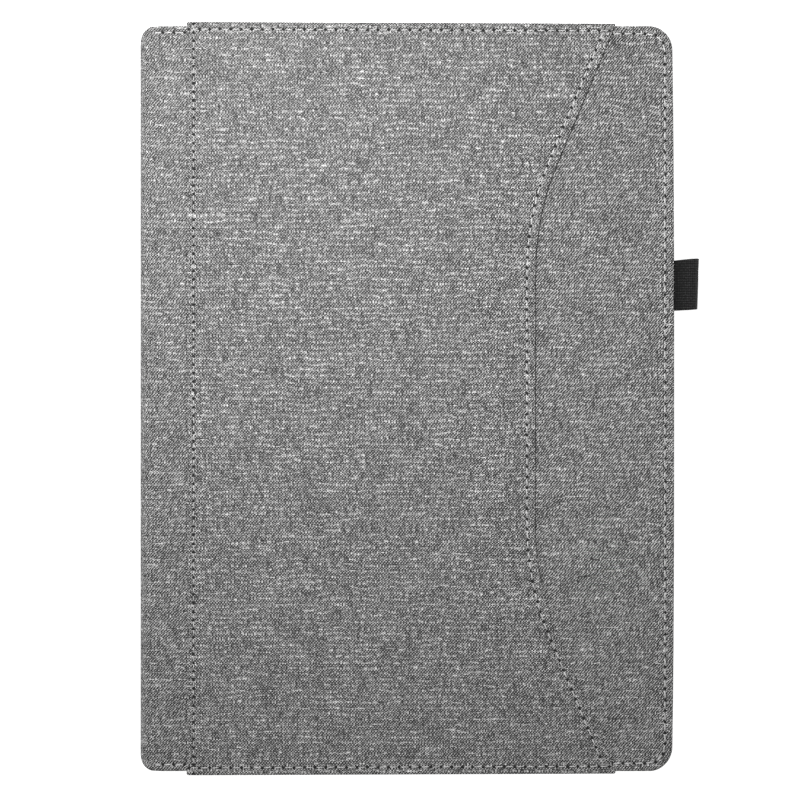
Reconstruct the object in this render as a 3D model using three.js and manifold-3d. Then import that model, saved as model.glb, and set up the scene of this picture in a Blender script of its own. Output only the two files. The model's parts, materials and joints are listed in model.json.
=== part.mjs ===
// Tablet keyboard case: a fabric folio with a document pocket and a pen loop on its front cover,
// a keyboard inside that cover, and a tablet tray with a folding prop leg on the back cover.
// Millimetres, +Z up. The closed case lies on its back cover. The spine is on the -X side and
// the covers open at +X. The long edges run along Y. Z = 0 is the underside of the back cover.

import * as THREE from 'three';
import { mergeVertices } from 'three/addons/utils/BufferGeometryUtils.js';
import Module from 'manifold-3d';

const wasm = await Module();
wasm.setup();

// Outline of the closed case
const SPINE_X = -115;
const OPENING_X = 105;
const LOOP_X = 115;
const COVER_HALF = 153.4;
const POCKET_HALF = 155;
const OUTER_CORNER = 10;
const SPINE_CORNER = 6.5;

// Layers of every cover panel, from the outside in
const FABRIC = 0.8;
const BOARD = 1.5;
const LINING = 0.5;
const GLUE = 0.1;
const PANEL = FABRIC + GLUE + BOARD + GLUE + LINING;
const FOLD_R = 5;
const BOARD_INSET = 1.2;
const GAP = 0.3;

// Stand: the tray and the leg turn about lines halfway through the leg's thickness
const LEG_Z = PANEL + GAP;
const LEG = 1.6;
const LEG_LENGTH = 100;
const LEG_HALF = 75;
const TRAY_HINGE_X = -104;
const LEG_HINGE_X = TRAY_HINGE_X + LEG_LENGTH;
const FOOT_X = LEG_HINGE_X + LEG_LENGTH;
const TILTS = [62, 55, 48];
const footX = (tilt) => TRAY_HINGE_X + 2 * LEG_LENGTH * Math.cos(THREE.MathUtils.degToRad(tilt));

// Tray, sized for a tablet of 292 by 201 by 8.5
const TRAY_Z = LEG_Z + LEG + GAP;
const TRAY_X = [-104, 101];
const TRAY_HALF = 148;
const TRAY_FLOOR = 1;
const TRAY_WALL = 1.6;
const TRAY_CORNER = 9;
const BED = 0.3;
const BAY = 8.5;
const BED_Z = TRAY_Z + TRAY_FLOOR + GLUE;
const RIM_Z = BED_Z + BED + BAY;
const HOOK = 0.7;
const HOOK_Z = RIM_Z + GLUE;

// Keyboard, hanging face down from the front cover when the case is closed
const KEY_Z = HOOK_Z + HOOK + GAP;
const KEY_PROUD = 0.6;
const FRAME = 1;
const FRAME_Z = KEY_Z + KEY_PROUD;
const WEB = 0.6;
const WEB_Z = FRAME_Z + FRAME + GAP;
const TRAVEL = 1;
const DOME_Z = WEB_Z + WEB + TRAVEL + 0.2;
const SHEET = 0.3;
const CIRCUIT_Z = DOME_Z + SHEET + GLUE;
const BASE_FLOOR_Z = CIRCUIT_Z + SHEET + 0.2;
const BASE_FLOOR = 0.9;
const BASE_Z = FRAME_Z + FRAME + GLUE;
const BASE_TOP = BASE_FLOOR_Z + BASE_FLOOR;
const BASE_WALL = 1.2;
const KEYBOARD_X = [-101, 95];
const KEYBOARD_HALF = 145;
const KEYBOARD_CORNER = 7;

// Keys: widths in units of one letter key, read from the left of the keyboard (+Y)
const UNIT = 18.6;
const KEY_GAP = 3;
const KEY_CLEAR = 0.5;
const FUNCTION_DEPTH = 12;
const KEYS_START_X = -95.5;
const KEYS_START_Y = 7.5 * UNIT;
const ones = (count) => new Array(count).fill(1);
const ROWS = [
  { name: 'function_key_row', depth: FUNCTION_DEPTH, start: 0, units: ones(15) },
  { name: 'number_key_row', depth: UNIT, start: 0, units: [...ones(13), 2] },
  { name: 'upper_key_row', depth: UNIT, start: 0, units: [1.5, ...ones(12), 1.5] },
  { name: 'home_key_row', depth: UNIT, start: 0, units: [1.75, ...ones(11), 2.25] },
  { name: 'lower_key_row', depth: UNIT, start: 0, units: [2.25, ...ones(10), 2.75] },
];
const BOTTOM = [
  { name: 'left_modifier_keys', depth: UNIT, start: 0, units: [1.25, 1, 1, 1.25] },
  { name: 'space_bar', depth: UNIT, start: 4.5, units: [5.5] },
  { name: 'right_modifier_keys', depth: UNIT, start: 10, units: ones(5), halved: 3 },
];
const TOUCHPAD = { x: [21, 85], half: 54, thick: 1.4, clear: 0.4 };
const PAD_CORNER = 2.6;

// Front cover layers sit on the keyboard
const FRONT_LINING_Z = BASE_TOP + 0.2;
const FRONT_BOARD_Z = FRONT_LINING_Z + LINING + GLUE;
const FRONT_FABRIC_Z = FRONT_BOARD_Z + BOARD + GLUE;
const FRONT_TOP = FRONT_FABRIC_Z + FABRIC;

// Document pocket: its open edge is straight in the middle and splays to both ends
const POCKET_LINING = 0.3;
const POCKET_Z = FRONT_TOP + GLUE;
const POCKET_FABRIC_Z = POCKET_Z + POCKET_LINING + GLUE;
const POCKET_TOP = POCKET_FABRIC_Z + FABRIC;
const POCKET_X = -95.7;
const POCKET_EDGE_X = 47.8;
const POCKET_SPLAY = Math.tan(THREE.MathUtils.degToRad(22.6));
const POCKET_KNEE_Y = 75.3;
const POCKET_BEND = [50, 95.8];

// Pen loop, sewn into the opening edge of the front cover
const LOOP = { y: [36.4, 57.8], halfHeight: 3.9, wall: 1, tabInset: 7.5, tab: 1.1 };

// Camera window through the back cover and the tray
const CAMERA = { x: [74, 90], y: [92, 132], corner: 7 };

// Magnets of the closure, set into holes in both boards
const MAGNET = { x: [92, 99], y: 112, length: 24, thick: 1.3 };

const COLOURS = {
  grey: { color: 0x9b9a98, roughness: 0.95, metalness: 0 },
  lining: { color: 0x3a3a3c, roughness: 0.9, metalness: 0 },
  board: { color: 0x8c7f6c, roughness: 0.9, metalness: 0 },
  elastic: { color: 0x232325, roughness: 0.85, metalness: 0 },
  shell: { color: 0x1f2022, roughness: 0.6, metalness: 0 },
  rubber: { color: 0x19191a, roughness: 0.8, metalness: 0 },
  key: { color: 0x242528, roughness: 0.5, metalness: 0 },
  frame: { color: 0x3c3d40, roughness: 0.45, metalness: 0 },
  pad: { color: 0x2d2e31, roughness: 0.35, metalness: 0 },
  magnet: { color: 0xb9bbbd, roughness: 0.3, metalness: 1 },
  circuit: { color: 0x1d5136, roughness: 0.5, metalness: 0 },
  film: { color: 0xcfd2d0, roughness: 0.4, metalness: 0 },
  cell: { color: 0x9fa4aa, roughness: 0.4, metalness: 0.2 },
  lens: { color: 0xe8f2ea, roughness: 0.2, metalness: 0 },
};

function part(name, colour, geometry) {
  const mesh = new THREE.Mesh(geometry, new THREE.MeshStandardMaterial(COLOURS[colour]));
  mesh.name = name;
  return mesh;
}

function toSolid(geometry) {
  const bare = geometry.clone();
  bare.deleteAttribute('normal');
  bare.deleteAttribute('uv');
  const merged = mergeVertices(bare, 1e-4);
  const mesh = new wasm.Mesh({
    numProp: 3,
    vertProperties: new Float32Array(merged.attributes.position.array),
    triVerts: new Uint32Array(merged.index.array),
  });
  return new wasm.Manifold(mesh);
}

function toGeometry(solid) {
  const mesh = solid.getMesh();
  const geometry = new THREE.BufferGeometry();
  geometry.setAttribute('position', new THREE.BufferAttribute(mesh.vertProperties, 3));
  geometry.setIndex(new THREE.BufferAttribute(mesh.triVerts, 1));
  geometry.computeVertexNormals();
  return geometry;
}

// base plus every geometry in added, less every geometry in cut
function combine(base, added, cut = []) {
  let solid = toSolid(base);
  for (const geometry of added) solid = solid.add(toSolid(geometry));
  for (const geometry of cut) solid = solid.subtract(toSolid(geometry));
  return toGeometry(solid);
}

function within(geometry, limit) {
  return toGeometry(toSolid(geometry).intersect(toSolid(limit)));
}

function box([x0, x1], [y0, y1], [z0, z1]) {
  const geometry = new THREE.BoxGeometry(x1 - x0, y1 - y0, z1 - z0);
  return geometry.translate((x0 + x1) / 2, (y0 + y1) / 2, (z0 + z1) / 2);
}

// Rectangle with one corner radius on its -X side and one on its +X side
function outline([x0, x1], [y0, y1], left, right = left) {
  const path = new THREE.Shape();
  path.moveTo(x0 + left, y0);
  path.lineTo(x1 - right, y0);
  if (right) path.absarc(x1 - right, y0 + right, right, -Math.PI / 2, 0);
  path.lineTo(x1, y1 - right);
  if (right) path.absarc(x1 - right, y1 - right, right, 0, Math.PI / 2);
  path.lineTo(x0 + left, y1);
  if (!left) return path;
  path.absarc(x0 + left, y1 - left, left, Math.PI / 2, Math.PI);
  path.lineTo(x0, y0 + left);
  path.absarc(x0 + left, y0 + left, left, Math.PI, 1.5 * Math.PI);
  return path;
}

function plate(shape, [z0, z1]) {
  const options = { depth: z1 - z0, bevelEnabled: false, curveSegments: 6 };
  return new THREE.ExtrudeGeometry(shape, options).translate(0, 0, z0);
}

// A section drawn in X and Z, run along Y
function run(section, [y0, y1], curveSegments = 6) {
  const options = { depth: y1 - y0, bevelEnabled: false, curveSegments };
  return new THREE.ExtrudeGeometry(section, options).rotateX(Math.PI / 2).translate(0, y1, 0);
}

// Band of fabric around a fold, in X and Z, between two angles in degrees
function foldBand(x, z, from, to) {
  const [a, b] = [from, to].map(THREE.MathUtils.degToRad);
  const band = new THREE.Shape();
  band.absarc(x, z, FOLD_R, a, b, false);
  band.absarc(x, z, FOLD_R - FABRIC, b, a, true);
  return run(band, [-COVER_HALF, COVER_HALF]);
}

const mirrored = ([low, high]) => [-high, -low];
const around = (half) => [-half, half];
const cameraHole = (z) => plate(outline(CAMERA.x, CAMERA.y, CAMERA.corner), z);
const caseOutline = (z) =>
  plate(outline([SPINE_X, OPENING_X], around(COVER_HALF), SPINE_CORNER, OUTER_CORNER), z);

const magnetHole = (y, z) =>
  box([MAGNET.x[0] - GAP, MAGNET.x[1] + GAP], around(MAGNET.length / 2 + GAP).map((v) => v + y), z);

function magnet(name, y, z) {
  const bar = box(MAGNET.x, around(MAGNET.length / 2).map((v) => v + y), [z, z + MAGNET.thick]);
  return part(name, 'magnet', bar);
}

// Plan of a board or lining: it starts at the fold and stops short of the turned fabric edge
function innerPlan(inset) {
  const end = OPENING_X - inset;
  return outline([SPINE_X + FOLD_R, end], around(COVER_HALF - inset), 0, OUTER_CORNER - inset);
}

// Outer fabric of a cover: a sheet with its edge turned around the board on three sides
function coverFabric(bottom, top, recess, fold) {
  const cover = within(
    plate(outline([SPINE_X + FOLD_R, OPENING_X], around(COVER_HALF), 0, OUTER_CORNER), [bottom, top]),
    caseOutline([bottom, top]),
  );
  const shell = combine(cover, [fold], [plate(innerPlan(0.9), recess)]);
  return within(shell, caseOutline([bottom - FOLD_R, top + FOLD_R]));
}

function backCover() {
  const fold = foldBand(SPINE_X + FOLD_R + 0.01, FOLD_R, 226.5, 270);
  const fabric = coverFabric(0, PANEL, [FABRIC, PANEL + 1], fold);
  const boardZ = [FABRIC + GLUE, FABRIC + GLUE + BOARD];
  const liningZ = [PANEL - LINING, PANEL];
  const stops = TILTS.map((tilt) => footX(tilt));
  const gripX = [stops[0] - 10, stops[stops.length - 1] + 10];
  const grooves = stops.map((x) =>
    box([x - 1, x + 1], around(LEG_HALF), [PANEL - LINING / 2, PANEL + 1]));
  const gripHole = box([gripX[0] - GAP, gripX[1] + GAP], around(LEG_HALF - 5 + GAP), [0, PANEL + 1]);
  const grip = combine(box(gripX, around(LEG_HALF - 5), liningZ), [], grooves);
  const magnets = [magnetHole(MAGNET.y, boardZ), magnetHole(-MAGNET.y, boardZ)];
  const camera = cameraHole([-1, PANEL + 1]);
  const group = new THREE.Group();
  group.add(
    part('back_fabric', 'grey', combine(fabric, [], [camera])),
    part('back_board', 'board', combine(
      plate(innerPlan(BOARD_INSET), boardZ), [], [camera, ...magnets])),
    part('back_lining', 'lining', combine(
      plate(innerPlan(BOARD_INSET), liningZ), [], [camera, gripHole])),
    part('foot_grip', 'rubber', grip),
    part('tray_hinge_flap', 'lining',
      box([SPINE_X + 4.5, TRAY_HINGE_X - 1.3], around(130), [PANEL + GLUE, PANEL + GLUE + 0.9])),
    magnet('back_magnet_left', MAGNET.y, FABRIC + 2 * GLUE),
    magnet('back_magnet_right', -MAGNET.y, FABRIC + 2 * GLUE),
  );
  return group;
}

function spine() {
  const band = [FOLD_R, FRONT_TOP - FOLD_R];
  const wall = (offset, thick, ends) => box(
    [SPINE_X + offset, SPINE_X + offset + thick], around(COVER_HALF), [band[0] + ends, band[1] - ends]);
  const folds = [
    foldBand(SPINE_X + FOLD_R, band[0] + 0.01, 180, 223.5),
    foldBand(SPINE_X + FOLD_R, band[1] - 0.01, 136.5, 180),
  ];
  const limit = caseOutline([0, FRONT_TOP]);
  const inner = plate(
    outline([SPINE_X + 0.9, OPENING_X], around(COVER_HALF - 1.2), SPINE_CORNER - 0.9), [0, FRONT_TOP]);
  const group = new THREE.Group();
  group.add(
    part('spine_fabric', 'grey', within(combine(wall(0, FABRIC, 0), folds), limit)),
    part('spine_board', 'board', within(wall(FABRIC + GLUE, BOARD, 0.3), inner)),
    part('spine_lining', 'lining', within(wall(PANEL - LINING, LINING, 0.3), inner)),
  );
  return group;
}

// Right-hand edge of the pocket, from its lower end to its upper end, moved out by grow
function pocketShape(grow, half) {
  const edge = POCKET_EDGE_X + grow;
  const splayed = (y) => edge + (Math.abs(y) - POCKET_KNEE_Y) * POCKET_SPLAY;
  const [inner, outer] = POCKET_BEND;
  const shape = new THREE.Shape();
  shape.moveTo(POCKET_X - grow, -half);
  shape.lineTo(splayed(half), -half);
  shape.lineTo(splayed(outer), -outer);
  shape.quadraticCurveTo(edge, -POCKET_KNEE_Y, edge, -inner);
  shape.lineTo(edge, inner);
  shape.quadraticCurveTo(edge, POCKET_KNEE_Y, splayed(outer), outer);
  shape.lineTo(splayed(half), half);
  shape.lineTo(POCKET_X - grow, half);
  return shape;
}

function frontCover() {
  const boardZ = [FRONT_BOARD_Z, FRONT_BOARD_Z + BOARD];
  const liningZ = [FRONT_LINING_Z, FRONT_LINING_Z + LINING];
  const fold = foldBand(SPINE_X + FOLD_R + 0.01, FRONT_TOP - FOLD_R, 90, 133.5);
  const turned = [FRONT_LINING_Z - 1, FRONT_FABRIC_Z];
  const tabZ = [FRONT_BOARD_Z + 0.2, FRONT_BOARD_Z + 0.2 + LOOP.tab];
  const slot = box([OPENING_X - LOOP.tabInset - GAP, OPENING_X + 1],
    [LOOP.y[0] - GAP, LOOP.y[1] + GAP], [FRONT_BOARD_Z - 0.05, tabZ[1] + GAP]);

  const radiusX = (LOOP_X - OPENING_X) / 2 - 0.2;
  const loopX = LOOP_X - radiusX;
  const loopZ = (tabZ[0] + tabZ[1]) / 2;
  const ring = new THREE.Shape();
  ring.absellipse(loopX, loopZ, radiusX, LOOP.halfHeight, 0, 2 * Math.PI);
  const hole = new THREE.Path();
  hole.absellipse(loopX, loopZ, radiusX - LOOP.wall, LOOP.halfHeight - LOOP.wall, 0, 2 * Math.PI);
  ring.holes.push(hole);
  const tab = box([OPENING_X - LOOP.tabInset, OPENING_X + 1], LOOP.y, tabZ);

  // The pocket's fabric turns down over both long ends of the cover
  const seamZ = [FRONT_LINING_Z, POCKET_TOP];
  const end = plate(pocketShape(0, POCKET_HALF), seamZ);
  const cover = box([SPINE_X, OPENING_X], around(COVER_HALF + 0.2), [0, POCKET_FABRIC_Z]);
  const magnets = [magnetHole(MAGNET.y, boardZ), magnetHole(-MAGNET.y, boardZ)];
  const group = new THREE.Group();
  group.add(
    part('front_fabric', 'grey', combine(
      coverFabric(FRONT_LINING_Z, FRONT_TOP, turned, fold), [], [slot])),
    part('front_board', 'board', combine(
      plate(innerPlan(BOARD_INSET), boardZ), [], [slot, ...magnets])),
    part('front_lining', 'lining', plate(innerPlan(BOARD_INSET), liningZ)),
    part('pocket_lining', 'lining',
      plate(pocketShape(-1, COVER_HALF), [POCKET_Z, POCKET_Z + POCKET_LINING])),
    part('pocket_panel', 'grey', combine(end, [], [cover])),
    part('pen_loop', 'elastic', combine(run(ring, LOOP.y, 14), [tab], [run(new THREE.Shape(
      hole.getPoints(14)), [LOOP.y[0] - 1, LOOP.y[1] + 1])])),
    magnet('front_magnet_left', MAGNET.y, FRONT_BOARD_Z + GLUE),
    magnet('front_magnet_right', -MAGNET.y, FRONT_BOARD_Z + GLUE),
  );
  return group;
}

// Every key of a row as its place in plan, in the order of its widths
function keyPlaces(row, x) {
  let edge = KEYS_START_Y - row.start * UNIT;
  return row.units.flatMap((units, index) => {
    const y = [edge - units * UNIT + KEY_GAP / 2, edge - KEY_GAP / 2];
    edge -= units * UNIT;
    const whole = [x + KEY_GAP / 2, x + row.depth - KEY_GAP / 2];
    if (index !== row.halved) return [{ x: whole, y }];
    const middle = (whole[0] + whole[1]) / 2;
    return [{ x: [whole[0], middle - 0.8], y }, { x: [middle + 0.8, whole[1]], y }];
  });
}

function placedRows() {
  let x = KEYS_START_X;
  const rows = ROWS.map((row) => {
    const keys = keyPlaces(row, x);
    x += row.depth;
    return { name: row.name, keys };
  });
  return [...rows, ...BOTTOM.map((row) => ({ name: row.name, keys: keyPlaces(row, x) }))];
}

// The caps of a row stand on one thin plate behind the frame
function keyRow({ name, keys }) {
  const xs = keys.flatMap((key) => key.x);
  const ys = keys.flatMap((key) => key.y);
  const web = box([Math.min(...xs), Math.max(...xs)], [Math.min(...ys), Math.max(...ys)],
    [WEB_Z, WEB_Z + WEB]);
  const caps = keys.map((key) => box(key.x, key.y, [KEY_Z, WEB_Z + WEB / 2]));
  return part(name, 'key', combine(web, caps));
}

function keyboard() {
  const rows = placedRows();
  const plan = (inset) => {
    const [x0, x1] = KEYBOARD_X;
    return outline([x0 + inset, x1 - inset], around(KEYBOARD_HALF - inset), KEYBOARD_CORNER - inset);
  };
  const grown = ([low, high], by) => [low - by, high + by];
  const frameZ = [FRAME_Z, FRAME_Z + FRAME];
  const through = grown(frameZ, 1);
  const padX = TOUCHPAD.x;
  const padOpening = outline(
    grown(padX, TOUCHPAD.clear), around(TOUCHPAD.half + TOUCHPAD.clear), PAD_CORNER + TOUCHPAD.clear);
  const light = { x: padX[0], y: 130, r: 1 };
  const lamp = (r, length) => new THREE.CylinderGeometry(r, r, length, 16)
    .rotateX(Math.PI / 2).translate(light.x, light.y, FRAME_Z + 0.9);
  const openings = rows.flatMap((row) => row.keys).map((key) =>
    box(grown(key.x, KEY_CLEAR), grown(key.y, KEY_CLEAR), through));

  // Charging port and power switch, in the left-hand wall of the base
  const edgeY = KEYBOARD_HALF;
  const port = { x: [60, 69], z: [BASE_Z + 0.15, BASE_FLOOR_Z - 0.15], deep: 7.5 };
  const portHole = box(grown(port.x, GAP), [edgeY - 2, edgeY + 1], grown(port.z, 0.1));
  const shell = box(port.x, [edgeY - port.deep, edgeY - 0.2], port.z);
  const mouth = box(grown(port.x, -0.35), [edgeY - port.deep + 1, edgeY], grown(port.z, -0.35));
  const knob = { x: [38, 42], travel: 2.5, z: [BASE_Z + 0.9, BASE_Z + 2.1] };
  const slotX = [knob.x[0] - GAP, knob.x[1] + knob.travel + GAP];
  const switchHole = box(slotX, [edgeY - 2, edgeY + 1], grown(knob.z, 0.25));
  const stem = box(knob.x, [edgeY - 3, edgeY + 0.9], knob.z);
  const shoe = box(grown(knob.x, 1.5), [edgeY - 3.2, edgeY - BASE_WALL - GAP], grown(knob.z, 0.5));

  const base = combine(plate(plan(0), [BASE_Z, BASE_TOP]), [],
    [plate(plan(BASE_WALL), [BASE_Z - 1, BASE_FLOOR_Z]), portHole, switchHole]);
  const sheetX = [KEYBOARD_X[0] + 3, 15];
  const sheetY = around(KEYBOARD_HALF - 3);
  const padZ = [FRAME_Z + 0.15, FRAME_Z + 0.15 + TOUCHPAD.thick];
  const cellZ = [BASE_Z + 0.3, BASE_FLOOR_Z - 0.2];
  const bumper = (name, y) => part(name, 'rubber',
    box([20, 88], y, [FRAME_Z - 0.45, FRAME_Z - GLUE]));
  const group = new THREE.Group();
  group.add(
    part('keyboard_frame', 'frame', combine(
      plate(plan(0), frameZ), [], [...openings, plate(padOpening, through), lamp(light.r + GAP, 5)])),
    part('keyboard_base', 'frame', base),
    part('dome_sheet', 'film', box(sheetX, sheetY, [DOME_Z, DOME_Z + SHEET])),
    part('circuit_sheet', 'circuit', box(sheetX, sheetY, [CIRCUIT_Z, CIRCUIT_Z + SHEET])),
    part('battery', 'cell', box([24, 82], [-134, -72], cellZ)),
    part('controller_board', 'circuit', box([24, 54], [66, 118], [cellZ[0], cellZ[0] + 1])),
    part('charge_port', 'magnet', combine(shell, [], [mouth])),
    part('status_light', 'lens', lamp(light.r, 1.6)),
    part('power_switch', 'rubber', combine(stem, [shoe])),
    part('touchpad', 'pad', plate(outline(padX, around(TOUCHPAD.half), PAD_CORNER), padZ)),
    bumper('screen_bumper_left', [137, 141]),
    bumper('screen_bumper_right', [-141, -137]),
    ...rows.map(keyRow),
  );
  return group;
}

function tabletTray() {
  const plan = (inset) => {
    const [x0, x1] = TRAY_X;
    return outline([x0 + inset, x1 - inset], around(TRAY_HALF - inset), TRAY_CORNER - inset);
  };
  const notch = (x, y, low) => box(x, y, [low, RIM_Z + 1]);
  const portNotch = notch([-10, 20], [TRAY_HALF - 5, TRAY_HALF + 1], BED_Z + 1.5);
  const speakerNotch = notch([-10, 20], [-TRAY_HALF - 1, 5 - TRAY_HALF], BED_Z + 1.5);
  const buttonNotch = notch([TRAY_X[1] - 5, TRAY_X[1] + 1], [-110, -50], BED_Z + 1.5);
  const bay = plate(plan(TRAY_WALL), [TRAY_Z + TRAY_FLOOR, RIM_Z + 1]);
  const shell = combine(plate(plan(0), [TRAY_Z, RIM_Z]), [],
    [bay, cameraHole([TRAY_Z - 1, RIM_Z]), portNotch, speakerNotch, buttonNotch]);
  const bed = combine(plate(plan(TRAY_WALL + GAP), [BED_Z, BED_Z + BED]), [],
    [cameraHole([TRAY_Z, RIM_Z])]);
  const hookBand = combine(plate(plan(0), [HOOK_Z, HOOK_Z + HOOK]), [],
    [plate(plan(TRAY_WALL + 2.4), [HOOK_Z - 1, HOOK_Z + 2])]);
  const reach = 24;
  const corner = (name, x, y) => part(name, 'rubber', within(hookBand, box(x, y, [HOOK_Z - 1, KEY_Z])));
  const nearX = [TRAY_X[0] - 1, TRAY_X[0] + reach];
  const farX = [TRAY_X[1] - reach, TRAY_X[1] + 1];
  const leftY = [TRAY_HALF - reach, TRAY_HALF + 1];
  const stripZ = [LEG_Z, LEG_Z + LEG];
  const group = new THREE.Group();
  group.add(
    part('tray_shell', 'shell', shell),
    part('tray_bed', 'lining', bed),
    corner('corner_hook_near_left', nearX, leftY),
    corner('corner_hook_near_right', nearX, mirrored(leftY)),
    corner('corner_hook_far_left', farX, leftY),
    corner('corner_hook_far_right', farX, mirrored(leftY)),
    part('tray_hinge_strip', 'lining', box([TRAY_HINGE_X + 0.1, TRAY_HINGE_X + 14], around(130), stripZ)),
    part('leg_hinge_strip', 'lining',
      box([LEG_HINGE_X - 16, LEG_HINGE_X - 2.2], around(LEG_HALF), stripZ)),
  );
  return group;
}

function propLeg() {
  const footStart = FOOT_X - 3.5;
  const middle = LEG_Z + LEG / 2;
  const foot = new THREE.Shape();
  foot.moveTo(footStart, LEG_Z);
  foot.lineTo(FOOT_X, LEG_Z);
  foot.absarc(FOOT_X, middle, LEG / 2, -Math.PI / 2, Math.PI / 2);
  foot.lineTo(footStart, LEG_Z + LEG);
  const board = outline([LEG_HINGE_X + 0.4, footStart - GAP], around(LEG_HALF), 0);
  const group = new THREE.Group();
  group.add(
    part('leg_board', 'lining', plate(board, [LEG_Z, LEG_Z + LEG])),
    part('leg_foot', 'rubber', run(foot, around(LEG_HALF))),
  );
  return group;
}

const keyboardCase = new THREE.Group();
keyboardCase.add(backCover(), spine(), frontCover(), keyboard(), tabletTray(), propLeg());

export default keyboardCase;
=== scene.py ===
"""A tablet keyboard case in heathered grey fabric, lying closed on its back cover.

Metres, in the row frame: +Z up, the spine on the -X side, the long edges along Y. The fabric
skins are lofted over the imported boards, and the keyboard, the tray and the stand are finished
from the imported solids.
"""

import json
import math

import bmesh
import bpy
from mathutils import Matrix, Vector


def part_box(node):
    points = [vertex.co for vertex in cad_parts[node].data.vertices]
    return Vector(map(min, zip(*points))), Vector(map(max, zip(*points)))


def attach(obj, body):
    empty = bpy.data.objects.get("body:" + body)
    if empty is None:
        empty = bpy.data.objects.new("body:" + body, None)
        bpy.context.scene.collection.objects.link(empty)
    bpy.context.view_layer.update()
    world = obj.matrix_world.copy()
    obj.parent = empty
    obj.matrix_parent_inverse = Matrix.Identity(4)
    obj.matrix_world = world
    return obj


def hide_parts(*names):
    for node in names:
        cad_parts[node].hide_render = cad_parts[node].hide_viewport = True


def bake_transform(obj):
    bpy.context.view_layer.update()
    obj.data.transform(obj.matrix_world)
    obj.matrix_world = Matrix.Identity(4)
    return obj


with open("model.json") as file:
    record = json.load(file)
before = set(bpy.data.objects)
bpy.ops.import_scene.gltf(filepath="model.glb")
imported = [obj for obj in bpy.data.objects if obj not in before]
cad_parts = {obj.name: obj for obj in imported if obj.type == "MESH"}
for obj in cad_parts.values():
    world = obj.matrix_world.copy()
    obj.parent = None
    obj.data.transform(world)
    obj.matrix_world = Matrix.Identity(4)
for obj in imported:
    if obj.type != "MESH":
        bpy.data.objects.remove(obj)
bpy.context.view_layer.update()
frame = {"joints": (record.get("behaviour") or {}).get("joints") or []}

MM = 0.001
UP = Vector((0, 0, 1))

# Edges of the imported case
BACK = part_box("back_fabric")
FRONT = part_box("front_fabric")
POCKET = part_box("pocket_panel")
CASE_TOP = FRONT[1].z
CASE_MIDDLE = (FRONT[1].z + BACK[0].z) / 2
OPENING_X = FRONT[1].x
SPINE_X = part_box("spine_fabric")[0].x
COVER_HALF = FRONT[1].y
THICK = BACK[1].z - BACK[0].z
OUTER_CORNER = 10 * MM
SPINE_CORNER = 6.5 * MM
FOLD_R = 5 * MM
FOLD_X = SPINE_X + FOLD_R
FOLD_Z = CASE_TOP - FOLD_R
EDGE_R = 1.0 * MM
BOW = 0.9 * MM
BOW_REACH = 14 * MM
DRAWN_IN = 0.0045
CAMERA_WINDOW = ((74 * MM, 90 * MM), (92 * MM, 132 * MM))

# Weave: threads along the spine lie closer than the threads across it
WARP_PITCH = 0.60 * MM
WEFT_PITCH = 0.93 * MM
PLY_PITCH = 1.04 * MM
WANDER = 2.4
PLY_WANDER = 9.0
RIB_PITCH = 1.03 * MM
KNOT_PITCH = 0.82 * MM

# Seams, measured in from the edge that each one follows
COVER_SEAM = 3.3 * MM
SPINE_SEAM = 2.8 * MM
PANEL_SIDE_SEAM = 2.9 * MM
PANEL_END_SEAM = 3.1 * MM
POCKET_SEAM = 3.5 * MM
GROOVE = 0.30 * MM
GROOVE_WIDTH = 0.7 * MM
STITCH_DEPTH = 0.26 * MM
STITCH_SIDES = 6
STITCH_RINGS = 6
HOLE_SIDES = 8
HOLE_R = 0.64 * MM
COVER_PITCH = 4.5 * MM

# Cloth grids: wide steps in the middle, close ones where the cloth rolls over and is sewn
GRID = 4 * MM
END_STEP = 0.4 * MM
END_STEPS = [i * END_STEP for i in range(20)]
END_ZONE = 8 * MM
CORNER_STEPS = 26
FOLD_STEPS = 12
ROLL_STEPS = 4

# Turned edges and the lining, which is glued over them
TUCK = 2.2 * MM
LINING_INSET = 1.9 * MM
LINING_FACE = THICK + 0.12 * MM

# Open edge of the pocket: straight in the middle, splayed to both ends
POCKET_EDGE_X = 47.8 * MM
POCKET_SPLAY = math.tan(math.radians(22.6))
POCKET_KNEE = 75.3 * MM
POCKET_BEND = (50 * MM, 95.8 * MM)
POCKET_HALF = POCKET[1].y
POCKET_LEFT = POCKET[0].x
POCKET_TOP = POCKET[1].z
POCKET_ROLL = 0.75 * MM
HEM_ROLL = 0.6 * MM
NEAR_STEP = 0.35 * MM


# ==== Mesh helpers


def link(obj):
    bpy.context.scene.collection.objects.link(obj)
    return obj


def mesh_object(name, points, faces, uvs=None, slots=None):
    """A smooth mesh piece. uvs holds one pair per point, in metres along the cloth."""
    mesh = bpy.data.meshes.new(name)
    mesh.from_pydata([tuple(p) for p in points], [], faces)
    if uvs:
        layer = mesh.uv_layers.new(name="cloth")
        for loop in mesh.loops:
            layer.data[loop.index].uv = uvs[loop.vertex_index]
    if slots:
        mesh.polygons.foreach_set("material_index", slots)
    mesh.polygons.foreach_set("use_smooth", [True] * len(mesh.polygons))
    mesh.update()
    return link(bpy.data.objects.new(name, mesh))


def dress(obj, *materials):
    while len(obj.data.materials) > len(materials):
        obj.data.materials.pop()
    for index, material in enumerate(materials):
        if index < len(obj.data.materials):
            obj.data.materials[index] = material
        else:
            obj.data.materials.append(material)
    return obj


def evaluated_mesh(obj):
    graph = bpy.context.evaluated_depsgraph_get()
    return bpy.data.meshes.new_from_object(obj.evaluated_get(graph))


def spread(low, high, step):
    """Evenly spaced values from low to high, at most about step apart."""
    count = max(1, math.ceil(abs(high - low) / step))
    return [low + (high - low) * i / count for i in range(count + 1)]


def merge_sorted(values, extra, least=0.2 * MM):
    """values with extra put in, dropping a value that lies too close to one of extra."""
    kept = [v for v in values if all(abs(v - e) > least for e in extra)]
    return sorted(kept + list(extra))


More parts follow.
